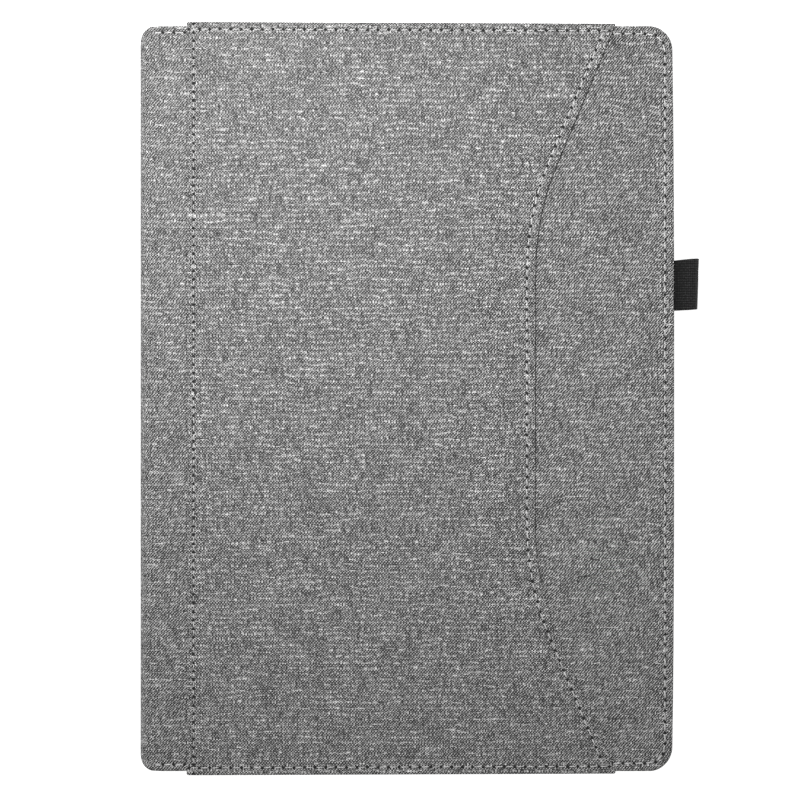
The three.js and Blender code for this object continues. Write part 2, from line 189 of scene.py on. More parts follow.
def with_ends(half, inner):
    """Places from -half to half: inner, and close steps at both ends."""
    return [-half + d for d in END_STEPS] + inner + [half - d for d in reversed(END_STEPS)]


def bell(distance, middle, width):
    return math.exp(-(((distance - middle) / width) ** 2))


class Loft:
    """Points, faces and cloth coordinates, gathered before one mesh is made of them."""

    def __init__(self):
        self.points, self.uvs, self.faces = [], [], []

    def add(self, point, uv):
        self.points.append(point)
        self.uvs.append(uv)
        return len(self.points) - 1

    def strip(self, first, second, flip=False):
        for a, b, c, d in zip(first, first[1:], second[1:], second):
            corners = (a, d, c, b) if flip else (a, b, c, d)
            self.faces.append(tuple(dict.fromkeys(corners)))

    def sheet(self, rows, flip=False):
        for first, second in zip(rows, rows[1:]):
            self.strip(first, second, flip)

    def tube(self, loops, flip=False):
        self.sheet([loop + loop[:1] for loop in loops], flip)

    def skirt(self, chain):
        """An edge that goes on from the sheet. chain lists, for each boundary point in turn, its
        index, the direction out of the sheet, the sheet's normal and its steps out and inwards."""
        before = [index for index, *_ in chain]
        runs = [0.0] * len(chain)
        last = [self.points[index] for index in before]
        for k in range(len(chain[0][3])):
            loop = []
            for i, (index, direction, normal, steps) in enumerate(chain):
                start = self.points[index]
                point = start + direction * steps[k][0] - normal * steps[k][1]
                if start.x < SPINE_X + SPINE_CORNER:
                    point.y += math.copysign(outline_half(point.x) - outline_half(start.x), start.y)
                runs[i] += (point - last[i]).length
                last[i] = point
                u, v = self.uvs[index]
                loop.append(self.add(point, (u - direction.x * runs[i], v + direction.y * runs[i])))
            self.strip(before, loop, flip=True)
            before = loop

    def turned_over(self):
        self.faces = [tuple(reversed(face)) for face in self.faces]
        return self

    def mirrored(self, z_sum):
        """The same loft turned upside down about half of z_sum."""
        other = Loft()
        other.points = [Vector((p.x, p.y, z_sum - p.z)) for p in self.points]
        other.uvs = [(u, v + 0.7) for u, v in self.uvs]
        other.faces = list(self.faces)
        return other.turned_over()

    def make(self, name):
        return mesh_object(name, self.points, self.faces, self.uvs)


def rounded_rectangle(x0, x1, y0, y1, radius, steps, grow=0.0):
    """Counter-clockwise outline, from the corner at x1, y0, of the rectangle made larger by grow."""
    x0, x1, y0, y1 = x0 - grow, x1 + grow, y0 - grow, y1 + grow
    corners = ((x1, y0, -90), (x1, y1, 0), (x0, y1, 90), (x0, y0, 180))
    outline = []
    for x, y, start in corners:
        cx = x + (radius if x == x0 else -radius)
        cy = y + (radius if y == y0 else -radius)
        for i in range(steps + 1):
            angle = math.radians(start + 90 * i / steps)
            outline.append((cx + radius * math.cos(angle), cy + radius * math.sin(angle)))
    return outline


# ==== Materials


class Nodes:
    """Short names for the shader nodes that the materials below are wired from."""

    def __init__(self, name):
        self.material = bpy.data.materials.new(name)
        self.material.use_nodes = True
        self.tree = self.material.node_tree
        self.shader = self.tree.nodes["Principled BSDF"]

    def new(self, kind, **settings):
        node = self.tree.nodes.new(kind)
        for key, value in settings.items():
            setattr(node, key, value)
        return node

    def join(self, source, target):
        self.tree.links.new(source, target)

    def feed(self, socket, value):
        if isinstance(value, bpy.types.NodeSocket):
            self.join(value, socket)
        else:
            socket.default_value = value

    def maths(self, operation, a, b=0.0, c=0.0):
        node = self.new("ShaderNodeMath", operation=operation)
        for socket, value in zip(node.inputs, (a, b, c)):
            self.feed(socket, value)
        return node.outputs[0]

    def place(self, scale, rotation=0.0, cloth=False):
        """Coordinates in units of 1 / scale metres, on the cloth or in the row frame."""
        coordinates = self.new("ShaderNodeTexCoord")
        mapping = self.new("ShaderNodeMapping")
        mapping.inputs["Scale"].default_value = scale
        mapping.inputs["Rotation"].default_value[2] = rotation
        self.join(coordinates.outputs["UV" if cloth else "Object"], mapping.inputs["Vector"])
        return mapping.outputs[0]

    def noise(self, vector, detail=2.0, rough=0.5):
        node = self.new("ShaderNodeTexNoise")
        node.inputs["Scale"].default_value = 1.0
        node.inputs["Detail"].default_value = detail
        node.inputs["Roughness"].default_value = rough
        self.join(vector, node.inputs["Vector"])
        return node.outputs["Fac"]

    def cloth_noise(self, scale, detail=1.0):
        return self.noise(self.place(scale, cloth=True), detail)

    def solid_noise(self, scale, detail=3.0, rough=0.5):
        return self.noise(self.place((scale, scale, scale)), detail, rough)

    def cloth_axes(self):
        """Distances along the cloth from the opening edge and from its middle, in metres."""
        split = self.new("ShaderNodeSeparateXYZ")
        self.join(self.place((1, 1, 1), cloth=True), split.inputs[0])
        return split.outputs["X"], split.outputs["Y"]

    def ramp(self, value, stops):
        node = self.new("ShaderNodeValToRGB")
        elements = node.color_ramp.elements
        while len(elements) < len(stops):
            elements.new(0.5)
        for element, (position, colour) in zip(elements, stops):
            element.position = position
            element.color = (*colour, 1.0)
        self.join(value, node.inputs["Fac"])
        return node.outputs["Color"]

    def colour(self, value, *stops):
        self.join(self.ramp(value, stops), self.shader.inputs["Base Color"])

    def roughness(self, value, gain, base):
        self.join(self.maths("MULTIPLY_ADD", value, gain, base), self.shader.inputs["Roughness"])

    def set(self, name, value):
        self.shader.inputs[name].default_value = value

    def bump(self, height, distance, strength=1.0):
        node = self.new("ShaderNodeBump")
        node.inputs["Strength"].default_value = strength
        node.inputs["Distance"].default_value = distance
        self.join(height, node.inputs["Height"])
        self.join(node.outputs[0], self.shader.inputs["Normal"])


def grey(level, warmth=0.0):
    return (level * (1 + warmth), level, level * (1 - warmth))


def weave_lattice(nodes, rising, falling):
    """Crossing threads: a lattice with two diagonals, weighed by rising and falling, that wanders
    and fades from patch to patch."""
    x, y = nodes.cloth_axes()
    drift = nodes.cloth_noise((120, 120, 1))
    sway = nodes.cloth_noise((90, 140, 2))
    across = nodes.maths("MULTIPLY_ADD", x, math.pi / WARP_PITCH, nodes.maths("MULTIPLY", drift, WANDER))
    along = nodes.maths("MULTIPLY_ADD", y, math.pi / WEFT_PITCH, nodes.maths("MULTIPLY", sway, WANDER))
    plies = nodes.maths("MULTIPLY_ADD", y, 2 * math.pi / PLY_PITCH,
                        nodes.maths("MULTIPLY", drift, PLY_WANDER))
    rows = nodes.maths("COSINE", nodes.maths("MULTIPLY", along, 2.0))
    weave = nodes.maths("MULTIPLY", rows, 0.12)
    for operation, lines, weight in (("ADD", along, rising), ("SUBTRACT", along, falling),
                                     ("ADD", plies, rising), ("SUBTRACT", plies, falling)):
        diagonal = nodes.maths("COSINE", nodes.maths(operation, across, lines))
        weave = nodes.maths("MULTIPLY_ADD", diagonal, weight, weave)
    patches = nodes.cloth_noise((260, 330, 1))
    return nodes.maths("MULTIPLY", weave, nodes.maths("MULTIPLY_ADD", patches, 1.3, 0.35))


def yarn_tone(nodes):
    """One random tone for each crossing of two threads."""
    cells = nodes.new("ShaderNodeVectorMath", operation="FLOOR")
    nodes.join(nodes.place((1 / WARP_PITCH, 2 / WEFT_PITCH, 1), cloth=True), cells.inputs[0])
    yarn = nodes.new("ShaderNodeTexWhiteNoise", noise_dimensions="2D")
    nodes.join(cells.outputs[0], yarn.inputs["Vector"])
    return nodes.maths("SUBTRACT", yarn.outputs["Value"], 0.5)


def cover_fabric(name, rising, falling):
    """Heathered plain weave: a lattice of threads, slubs both ways and single pale threads."""
    nodes = Nodes(name)
    weave = nodes.maths("MULTIPLY", weave_lattice(nodes, rising, falling), 0.36)
    total = nodes.maths("MULTIPLY_ADD", yarn_tone(nodes), 0.8, weave)
    fibre, slub_across, slub_along, cloud = (1500, 1500, 1), (190, 1600, 1), (1700, 140, 1), (70, 100, 1)
    for scale, weight in ((fibre, 0.40), (slub_across, 0.50), (slub_along, 1.15), (cloud, 0.34)):
        value = nodes.maths("SUBTRACT", nodes.cloth_noise(scale), 0.5)
        total = nodes.maths("MULTIPLY_ADD", value, weight, total)
    pale = nodes.maths("SUBTRACT", nodes.cloth_noise((115, 1500, 3), 0.0), 0.68)
    pale = nodes.maths("MULTIPLY", nodes.maths("MAXIMUM", pale, 0.0), 1.4)
    level = nodes.maths("ADD", nodes.maths("ADD", total, 0.5), pale)
    nodes.colour(level, (0.0, grey(0.026)), (0.25, grey(0.092)), (0.5, grey(0.222, 0.004)),
                 (0.75, grey(0.41, 0.006)), (1.0, grey(0.70, 0.006)))
    nodes.roughness(level, -0.12, 0.95)
    nodes.set("Sheen Weight", 0.1)
    nodes.set("Specular IOR Level", 0.25)
    nodes.bump(level, 1.0 * MM)
    return nodes.material


def lining_fabric():
    nodes = Nodes("suede_lining")
    nap = nodes.solid_noise(900, 3.0, 0.7)
    cloud = nodes.solid_noise(28)
    level = nodes.maths("MULTIPLY_ADD", cloud, 0.55, nodes.maths("MULTIPLY", nap, 0.45))
    nodes.colour(level, (0.3, grey(0.055)), (0.7, grey(0.105, 0.01)))
    nodes.roughness(nap, 0.2, 0.78)
    nodes.set("Sheen Weight", 0.35)
    nodes.bump(nap, 0.08 * MM, 0.6)
    return nodes.material


def ribbed_elastic():
    """Black webbing: ribs that run round the loop, each a row of small knots, with painted shade near the
    root.
    """
    nodes = Nodes("ribbed_elastic")
    x, y = nodes.cloth_axes()
    rib = nodes.maths("SINE", nodes.maths("MULTIPLY", y, 2 * math.pi / RIB_PITCH))
    knot = nodes.maths("SINE", nodes.maths("MULTIPLY", x, 2 * math.pi / KNOT_PITCH))
    fuzz = nodes.cloth_noise((1300, 1300, 1), 2.0)
    height = nodes.maths("MULTIPLY_ADD", rib, 0.5, nodes.maths("MULTIPLY", knot, 0.28))
    # Painted shade: the band is darker over its first 9 mm from the root, where the cover's edge shades
    # it
    root_shade = nodes.maths("MINIMUM", nodes.maths("MULTIPLY", x, 0.3 / (9 * MM)), 0.3)
    level = nodes.maths("ADD", nodes.maths("MULTIPLY_ADD", height, 0.36, fuzz),
                        nodes.maths("SUBTRACT", root_shade, 0.2))
    nodes.colour(level, (0.2, grey(0.0005)), (0.5, grey(0.004)), (0.85, grey(0.024)))
    nodes.roughness(fuzz, 0.2, 0.7)
    nodes.set("Sheen Weight", 0.05)
    nodes.set("Specular IOR Level", 0.15)
    nodes.bump(height, 0.14 * MM)
    return nodes.material


def grained(name, low, high, rough, scale=900, depth=0.03, metal=0.0):
    """Moulded or blasted surface with a fine grain and faint cloudy wear. depth is in millimetres."""
    nodes = Nodes(name)
    grain = nodes.solid_noise(scale, 3.0, 0.65)
    wear = nodes.solid_noise(35)
    level = nodes.maths("MULTIPLY_ADD", wear, 0.6, nodes.maths("MULTIPLY", grain, 0.4))
    nodes.colour(level, (0.3, grey(low)), (0.7, grey(high)))
    nodes.roughness(grain, 0.18, rough - 0.09)
    nodes.set("Metallic", metal)
    nodes.bump(grain, depth * MM, 0.5)
    return nodes.material


def brushed(name, level, rough):
    nodes = Nodes(name)
    lines = nodes.noise(nodes.place((120, 2600, 120)))
    nodes.colour(lines, (0.3, grey(level * 0.8)), (0.7, grey(level)))
    nodes.roughness(lines, 0.2, rough)
    nodes.set("Metallic", 1.0)
    nodes.bump(lines, 0.01 * MM, 0.4)
    return nodes.material


def tinted(name, dark, light, rough, scale=260):
    nodes = Nodes(name)
    cloud = nodes.solid_noise(scale, 4.0, 0.6)
    nodes.colour(cloud, (0.3, dark), (0.7, light))
    nodes.roughness(cloud, 0.15, rough)
    nodes.bump(cloud, 0.05 * MM, 0.4)
    return nodes.material


def thread(name, low, high):
    """Twisted sewing thread: fine slanting plies."""
    nodes = Nodes(name)
    ply = nodes.noise(nodes.place((2600, 900, 900), 0.7), 1.0)
    nodes.colour(ply, (0.3, grey(low)), (0.7, grey(high, 0.006)))
    nodes.roughness(ply, 0.2, 0.6)
    nodes.bump(ply, 0.05 * MM, 0.8)
    return nodes.material


BASE_CLOTH = cover_fabric("heathered_base", 0.95, 0.40)
PANEL_CLOTH = cover_fabric("heathered_panel", 0.80, 0.66)
LINING = lining_fabric()
ELASTIC = ribbed_elastic()
TRAY_PLASTIC = grained("tray_plastic", 0.020, 0.034, 0.5)
RUBBER = grained("soft_rubber", 0.012, 0.022, 0.78, 1400, 0.05)
KEY_PLASTIC = grained("key_plastic", 0.018, 0.028, 0.4, 1600, 0.015)
SHELL = grained("keyboard_shell", 0.15, 0.19, 0.4, 1800, 0.01, 0.35)
PAD = grained("touchpad_surface", 0.085, 0.105, 0.3, 2200, 0.008)
BOARD = tinted("cover_board", (0.24, 0.19, 0.13), (0.36, 0.30, 0.22), 0.8)
CIRCUIT = tinted("circuit", (0.008, 0.06, 0.025), (0.016, 0.10, 0.045), 0.4, 120)
DOME = tinted("dome_rubber", (0.46, 0.47, 0.46), (0.60, 0.61, 0.60), 0.5)
CELL = tinted("battery_pouch", (0.30, 0.31, 0.33), (0.42, 0.43, 0.45), 0.35)
LENS = tinted("light_lens", (0.70, 0.76, 0.72), (0.80, 0.85, 0.82), 0.25)
MAGNET = brushed("magnet", 0.6, 0.2)
STEEL = brushed("port_metal", 0.55, 0.3)
THREAD = thread("grey_thread", 0.34, 0.58)
# Painted shade: near-black discs stand for the shade inside the needle holes
HOLE_SHADE = tinted("needle_hole", grey(0.004), grey(0.012), 0.9)


# ==== Cover skins


def bowed(point):
    """The opening edge stands a little further out in the middle than at its corners."""
    share = min(max((point.x - (OPENING_X - BOW_REACH)) / BOW_REACH, 0), 1)
    return Vector((point.x - BOW * share * abs(point.y / COVER_HALF) ** 3, point.y, point.z))


def drawn_in(point):
    """The pocket's ends close in a little towards its opening."""
    share = min(max((point.x - POCKET_LEFT) / (POCKET[1].x - POCKET_LEFT), 0), 1)
    return Vector((point.x, point.y * (1 - DRAWN_IN * share), point.z))


def outline_half(x, inset=0.0):
    """Half length of the closed case at x, with its rounded corners, moved in by inset."""
    far = x - (OPENING_X - OUTER_CORNER)
    near = SPINE_X + SPINE_CORNER - x
    if far > 0:
        return COVER_HALF - OUTER_CORNER + math.sqrt(max((OUTER_CORNER - inset) ** 2 - far ** 2, 0))
    if near > 0:
        return COVER_HALF - SPINE_CORNER + math.sqrt(max(SPINE_CORNER ** 2 - near ** 2, 0)) - inset
    return COVER_HALF - inset


def edge_distance(x, y):
    """How far a point of the flat cover lies inside the outline."""
    ax = x - (OPENING_X - OUTER_CORNER)
    ay = abs(y) - (COVER_HALF - OUTER_CORNER)
    if ax > 0 and ay > 0:
        return OUTER_CORNER - math.hypot(ax, ay)
    return min(OPENING_X - x, outline_half(x) - abs(y))


def section(inset, offset, extra=()):
    """The cover in X and Z, from the opening edge to the middle of the spine: place, outward
    direction and distance along the cloth, offset inwards from the outer surface."""
    corner = OUTER_CORNER - inset
    start = OPENING_X - OUTER_CORNER
    curve = [start + corner * math.sin(math.pi / 2 * i / CORNER_STEPS) for i in range(CORNER_STEPS + 1)]
    flat = merge_sorted(spread(FOLD_X, start, GRID)[:-1] + curve, extra)
    places = [(x, CASE_TOP - offset, 0.0, 1.0, OPENING_X - x) for x in reversed(flat)]
    run = OPENING_X - FOLD_X
    for i in range(1, FOLD_STEPS + 1):
        angle = math.pi / 2 * (1 + i / FOLD_STEPS)
        c, s = math.cos(angle), math.sin(angle)
        r = FOLD_R - offset
        places.append((FOLD_X + r * c, FOLD_Z + r * s, c, s, run + FOLD_R * (angle - math.pi / 2)))
    run += FOLD_R * math.pi / 2
    for z in spread(FOLD_Z, CASE_MIDDLE, 2 * MM)[1:]:
        places.append((SPINE_X + offset, z, -1.0, 0.0, run + FOLD_Z - z))
    return places


def cover_rows(x, inset, middle):
    """Places across the cover at x, drawn together where its corners are rounded."""
    length = COVER_HALF - inset
    half = outline_half(x, inset)
    shrink = (half - END_ZONE) / (length - END_ZONE)
    inner = [y * shrink if half < length else y for y in middle]
    return with_ends(half, inner)


def cover_sheet(loft, columns, inset, lines_y, height):
    """The cover's points, as one column of point numbers for each place of the section."""
    reach = COVER_HALF - inset - END_ZONE
    middle = merge_sorted(spread(-reach, reach, GRID), lines_y, 0.5 * MM)
    grid = []
    for x, z, nx, nz, run in columns:
        column = []
        for y in cover_rows(x, inset, middle):
            d = edge_distance(x, y) if nz == 1.0 else outline_half(x) - abs(y)
            lift = height(x, d) if height else 0.0
            column.append(loft.add(Vector((x + nx * lift, y, z + nz * lift)), (run, y)))
        grid.append(column)
    return grid


def cover_faces(loft, grid, window):
    """Faces of the grid, but for those inside a rectangle of window."""
    for first, second in zip(grid, grid[1:]):
        for face in zip(first, first[1:], second[1:], second):
            centre = sum((loft.points[i] for i in face), Vector()) / 4
            if not any(x0 < centre.x < x1 and y0 < centre.y < y1 for (x0, x1), (y0, y1) in window):
                loft.faces.append(face)


def cover_rim(loft, grid, columns, rim):
    """Skirt chain along the low end, round the opening edge and back along the high end."""
    around = [(column[0], place) for column, place in zip(reversed(grid), reversed(columns))]
    around += [(index, columns[0]) for index in grid[0][1:-1]]
    around += [(column[-1], place) for column, place in zip(grid, columns)]
    centre = Vector((OPENING_X - OUTER_CORNER, COVER_HALF - OUTER_CORNER, 0))
    chain = []
    for index, (_, _, nx, nz, _) in around:
        p = loft.points[index]
        reach_x = max(p.x - centre.x, 0)
        reach_y = max(abs(p.y) - centre.y, 0) if reach_x else 1
        outwards = Vector((reach_x, math.copysign(reach_y, p.y), 0)).normalized()
        chain.append((index, outwards, Vector((nx, 0, nz)), rim))
    return chain


def cover_loft(inset, offset, rim, window=(), height=None):
    """A cover and half the spine as one cloth. rim lists how the edge goes on from the sheet:
    outwards, then inwards through the cover. window lists rectangles left open."""
    loft = Loft()
    lines_x = [x for sides, _ in window for x in sides]
    lines_y = [y for _, sides in window for y in sides]
    columns = section(inset, offset, lines_x)
    grid = cover_sheet(loft, columns, inset, lines_y, height)
    cover_faces(loft, grid, window)
    loft.skirt(cover_rim(loft, grid, columns, rim))
    loft.points = [bowed(p) for p in loft.points]
    return loft


def roll_over(radius, turn, steps):
    """Steps, out and inwards, of an edge that rolls over by the angle turn."""
    angles = [turn * i / steps for i in range(1, steps + 1)]
    return [(radius * math.sin(a), radius * (1 - math.cos(a))) for a in angles]


def turned_edge(radius, thick, tuck):
    """Steps of an edge that rolls over, runs down and turns in under the cover."""
    over = roll_over(radius, math.pi / 2, ROLL_STEPS)
    under = [(radius - deep, thick - radius + out) for out, deep in over]
    return over + under + [(-tuck, thick)]


def cover_relief(x, d):
    """Sewn edge: a groove at the stitches and a soft swell on both sides of it."""
    if x <= FOLD_X:
        return 0.0
    seam = COVER_SEAM if x > 0 else SPINE_SEAM
    outer_swell = 0.10 * MM * bell(d, seam - 1.5 * MM, 0.9 * MM)
    inner_swell = 0.08 * MM * bell(d, seam + 1.8 * MM, 1.2 * MM)
    return outer_swell + inner_swell - GROOVE * bell(d, seam, GROOVE_WIDTH)


def low(point):
    return Vector((point.x, point.y, CASE_TOP - point.z))


def bend_front(piece):
    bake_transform(piece)


def bend_back(piece):
    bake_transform(piece)


def covers():
    rim = turned_edge(EDGE_R, THICK, TUCK)
    upper = cover_loft(EDGE_R, 0.0, rim, height=cover_relief)
    front = dress(upper.make("front_cover_cloth"), BASE_CLOTH)
    lower = cover_loft(EDGE_R, 0.0, rim, window=(CAMERA_WINDOW,), height=cover_relief)
    back = dress(lower.mirrored(CASE_TOP).make("back_cover_cloth"), BASE_CLOTH)
    bend_front(front)
    bend_back(back)
    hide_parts("front_fabric", "spine_fabric")
    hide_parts("back_fabric")


def linings():
    """Suede inside the covers and the spine, glued over the turned-in fabric."""
    edge = [(0.1 * MM, -0.04 * MM), (0.14 * MM, -0.2 * MM)]
    grip_low, grip_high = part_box("foot_grip")
    margin = 0.2 * MM
    grip = ((grip_low.x - margin, grip_high.x + margin), (grip_low.y - margin, grip_high.y + margin))
    upper = cover_loft(LINING_INSET, LINING_FACE, edge).turned_over()
    lower = cover_loft(LINING_INSET, LINING_FACE, edge, window=(CAMERA_WINDOW, grip)).turned_over()
    front = dress(upper.make("front_lining_cloth"), LINING)
    back = dress(lower.mirrored(CASE_TOP).make("back_lining_cloth"), LINING)
    bend_front(front)
    bend_back(back)
    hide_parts("front_lining", "spine_lining")
    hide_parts("back_lining")


def camera_bezel():
    """Ring round the camera window of the back cover."""
    (x0, x1), (y0, y1) = CAMERA_WINDOW
    top = THICK / MM + 0.4
    # How far out, corner radius and height, in millimetres
    profile = ((2.3, 5.4, top - 0.3), (2.2, 5.4, top - 0.1), (1.9, 5.6, top), (0.3, 6.8, top),
               (0.0, 7.0, top - 0.15), (0.0, 7.0, 0.15), (0.3, 6.8, 0.0), (1.9, 5.6, 0.0),
               (2.3, 5.4, 0.2), (2.3, 5.4, 0.6))
    loft = Loft()
    loops = []
    for grow, corner, z in profile:
        outline = rounded_rectangle(x0, x1, y0, y1, corner * MM, 8, grow * MM)
        loops.append([loft.add(Vector((x, y, z * MM)), (x, y)) for x, y in outline])
    loft.tube(loops, flip=True)
    ring = dress(loft.make("camera_bezel"), RUBBER)
    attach(ring, "back_cover")


# ==== Document pocket


def pocket_edge(y):
    """Open edge of the pocket at y."""
    inner, outer = POCKET_BEND
    far = abs(y)
    if far <= inner:
        return POCKET_EDGE_X
    if far >= outer:
        return POCKET_EDGE_X + (far - POCKET_KNEE) * POCKET_SPLAY
    # Quadratic bend from the straight middle to the splayed end
    a = inner - 2 * POCKET_KNEE + outer
    b = 2 * (POCKET_KNEE - inner)
    c = inner - far
    t = (-b + math.sqrt(b * b - 4 * a * c)) / (2 * a) if abs(a) > 1e-9 else -c / b
    return POCKET_EDGE_X + t * t * (outer - POCKET_KNEE) * POCKET_SPLAY


def pocket_slope(y):
    step = 0.5 * MM
    return (pocket_edge(y + step) - pocket_edge(y - step)) / (2 * step)


def slant(y):
    """Length along X of one unit measured square to the pocket's open edge."""
    return 1 / math.cos(math.atan(pocket_slope(y)))


def pocket_relief(x, y):
    """Swell between the seams, grooves at them, and a slack open edge."""
    side = x - POCKET_LEFT
    end = POCKET_HALF - abs(y)
    opening = (pocket_edge(y) - x) / slant(y)
    lift = -GROOVE * bell(side, PANEL_SIDE_SEAM, GROOVE_WIDTH) - 0.45 * MM * bell(side, 0.0, 3.0 * MM)
    lift -= GROOVE * bell(end, PANEL_END_SEAM, GROOVE_WIDTH)
    lift -= 0.28 * MM * bell(opening, POCKET_SEAM, GROOVE_WIDTH)
    lift += 0.10 * MM * bell(opening, POCKET_SEAM - 1.7 * MM, 1.0 * MM)
    slack = max(0.0, 1 - (abs(y) / POCKET_HALF) ** 2)
    return lift + 0.25 * MM * slack * bell(opening, 0.0, 22 * MM)


def pocket_steps():
    """Steps of the pocket's edges: sewn down at the spine side, folded over both ends of the
    cover, and rolled back under itself along the opening."""
    r = POCKET_ROLL

    def down(deep, tuck):
        wall = [(r, r + (deep - r) * i / 4) for i in range(1, 5)]
        return roll_over(r, math.pi / 2, ROLL_STEPS) + wall + [(r - tuck, deep)]

    side = down(POCKET_TOP - CASE_TOP + 0.1 * MM, 0.3 * MM)
    end = down(POCKET_TOP - FRONT[0].z + 0.1 * MM, 3.6 * MM)
    rolled = roll_over(HEM_ROLL, math.pi, 2 * ROLL_STEPS)
    return side, end, rolled + [(-5 * MM, 2 * HEM_ROLL)]


def fan(index, first, last, steps):
    """Chain links that swing round one corner of a sheet."""
    return [(index, first.slerp(last, i / 6), UP, steps) for i in range(1, 6)]


def pocket_row(y):
    """Places across the pocket at y, close together at the side seam and at the opening."""
    left = POCKET_LEFT + POCKET_ROLL
    right = pocket_edge(y) - HEM_ROLL * slant(y)
    near = [left + i * NEAR_STEP for i in range(16)]
    far = [right - i * NEAR_STEP * slant(y) for i in range(20)]
    across = [near[-1] + (far[-1] - near[-1]) * i / 38 for i in range(1, 38)]
    return near + across + far[::-1]


def pocket_grid(loft):
    half = POCKET_HALF - POCKET_ROLL
    inner = spread(END_ZONE - half, half - END_ZONE, 2 * MM)
    grid = []
    for y in with_ends(half, inner):
        grid.append([
            loft.add(Vector((x, y, POCKET_TOP + pocket_relief(x, y))), (OPENING_X - x, y))
            for x in pocket_row(y)])
    return grid


def pocket_rim(loft, grid):
    """Skirt chain once round the pocket, with a fan at each corner."""
    side, end, rolled = pocket_steps()
    left, low_end, high_end = (Vector(v) for v in ((-1, 0, 0), (0, -1, 0), (0, 1, 0)))

    def beyond(index):
        return abs(loft.points[index].y) > COVER_HALF

    def edge_link(index):
        outwards = Vector((1, -pocket_slope(loft.points[index].y), 0)).normalized()
        return index, outwards, UP, end if beyond(index) else rolled

    def side_link(index):
        return index, left, UP, end if beyond(index) else side

    first, last = grid[0], grid[-1]
    opening = [edge_link(row[-1]) for row in grid]
    chain = [(index, low_end, UP, end) for index in first]
    chain += fan(first[-1], low_end, opening[0][1], end) + opening
    chain += fan(last[-1], opening[-1][1], high_end, end)
    chain += [(index, high_end, UP, end) for index in reversed(last)]
    chain += fan(last[0], high_end, left, end) + [side_link(row[0]) for row in reversed(grid)]
    chain += fan(first[0], left, low_end, end)
    return chain + chain[:1]


def pocket():
    loft = Loft()
    grid = pocket_grid(loft)
    loft.sheet(grid)
    loft.skirt(pocket_rim(loft, grid))
    loft.points = [drawn_in(p) for p in loft.points]
    panel = dress(loft.make("pocket_cloth"), PANEL_CLOTH)
    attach(panel, "front_cover")
    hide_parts("pocket_panel")


# ==== Stitches


def resample(path, pitch):
    """Points at equal steps near pitch along a path of points."""
    lengths = [0.0]
    for a, b in zip(path, path[1:]):
        lengths.append(lengths[-1] + (b - a).length)
    count = max(1, round(lengths[-1] / pitch))
    result, k = [], 0
    for i in range(count + 1):
        want = lengths[-1] * i / count
        while k < len(path) - 2 and lengths[k + 1] < want:
            k += 1
        share = (want - lengths[k]) / max(lengths[k + 1] - lengths[k], 1e-12)
        result.append(path[k].lerp(path[k + 1], min(max(share, 0), 1)))
    return result


def add_stitch(points, faces, a, b, normal, width):
    """A thread that arches from hole to hole, a little aslant."""
    along = (b - a).normalized()
    across = normal.cross(along).normalized()
    loops = []
    for ring in range(STITCH_RINGS):
        t = ring / (STITCH_RINGS - 1)
        rise = math.sin(math.pi * t)
        centre = a.lerp(b, 0.15 + 0.70 * t) + normal * (rise * 0.26 - 0.06) * MM
        centre += across * 0.16 * MM * (t - 0.5)
        radius = width / 2 * (0.55 + 0.45 * rise)
        loops.append([len(points) + side for side in range(STITCH_SIDES)])
        for side in range(STITCH_SIDES):
            angle = 2 * math.pi * side / STITCH_SIDES
            points.append(centre + (across * math.cos(angle) + normal * math.sin(angle) * 0.8) * radius)
    for first, second in zip(loops, loops[1:]):
        faces.extend(zip(first, first[1:] + first[:1], second[1:] + second[:1], second))
    faces += [tuple(reversed(loops[0])), tuple(loops[-1])]


# Painted shade: a flat near-black disc over the groove, where the shade of the needle hole falls
def add_hole(points, faces, place, normal):
    along = Vector((0, 1, 0)) if abs(normal.y) < 0.9 else Vector((1, 0, 0))
    across = normal.cross(along).normalized()
    faces.append(tuple(len(points) + side for side in range(HOLE_SIDES)))
    for side in range(HOLE_SIDES):
        angle = 2 * math.pi * side / HOLE_SIDES
        rim = along * math.cos(angle) + across * math.sin(angle)
        points.append(place + rim * HOLE_R + normal * 0.18 * MM)


def sewn(name, path, normals, pitch, width=0.6 * MM):
    """A row of stitches and their needle holes, each a near-black disc of painted shade. normals holds
    one for each point of the path.
    """
    points, faces = [], []
    places = resample(path, pitch)

    def normal_at(point):
        return normals[min(range(len(path)), key=lambda i: (path[i] - point).length_squared)]

    for a, b in zip(places, places[1:]):
        add_stitch(points, faces, a, b, normal_at((a + b) / 2), width)
    slots = [0] * len(faces) + [1] * len(places)
    for place in places:
        add_hole(points, faces, place, normal_at(place))
    return dress(mesh_object(name, points, faces, slots=slots), THREAD, HOLE_SHADE)


def cover_seam_path():
    """Along one long end, round the opening edge and back along the other, on the front cover."""
    pairs = []
    for x, z, nx, nz, _ in reversed(section(EDGE_R, STITCH_DEPTH)):
        seam = COVER_SEAM if x > 0 else SPINE_SEAM
        if FOLD_X <= x <= OPENING_X - OUTER_CORNER and nz == 1.0:
            pairs.append((Vector((x, -(outline_half(x) - seam), z)), Vector((nx, 0, nz))))
    radius = OUTER_CORNER - COVER_SEAM
    centre = Vector((OPENING_X - OUTER_CORNER, OUTER_CORNER - COVER_HALF, CASE_TOP - STITCH_DEPTH))
    for i in range(13):
        angle = math.pi / 2 * (i / 12 - 1)
        point = centre + Vector((math.cos(angle), math.sin(angle), 0)) * radius
        pairs.append((point, UP))
    pairs += [(Vector((p.x, -p.y, p.z)), n) for p, n in reversed(pairs)]
    return [bowed(point) for point, _ in pairs], [normal for _, normal in pairs]


def cover_seams():
    path, normals = cover_seam_path()
    front = sewn("front_cover_seam", path, normals, COVER_PITCH)
    bend_front(front)
    back_normals = [Vector((n.x, n.y, -n.z)) for n in normals]
    back = sewn("back_cover_seam", [low(p) for p in path], back_normals, COVER_PITCH)
    bend_back(back)


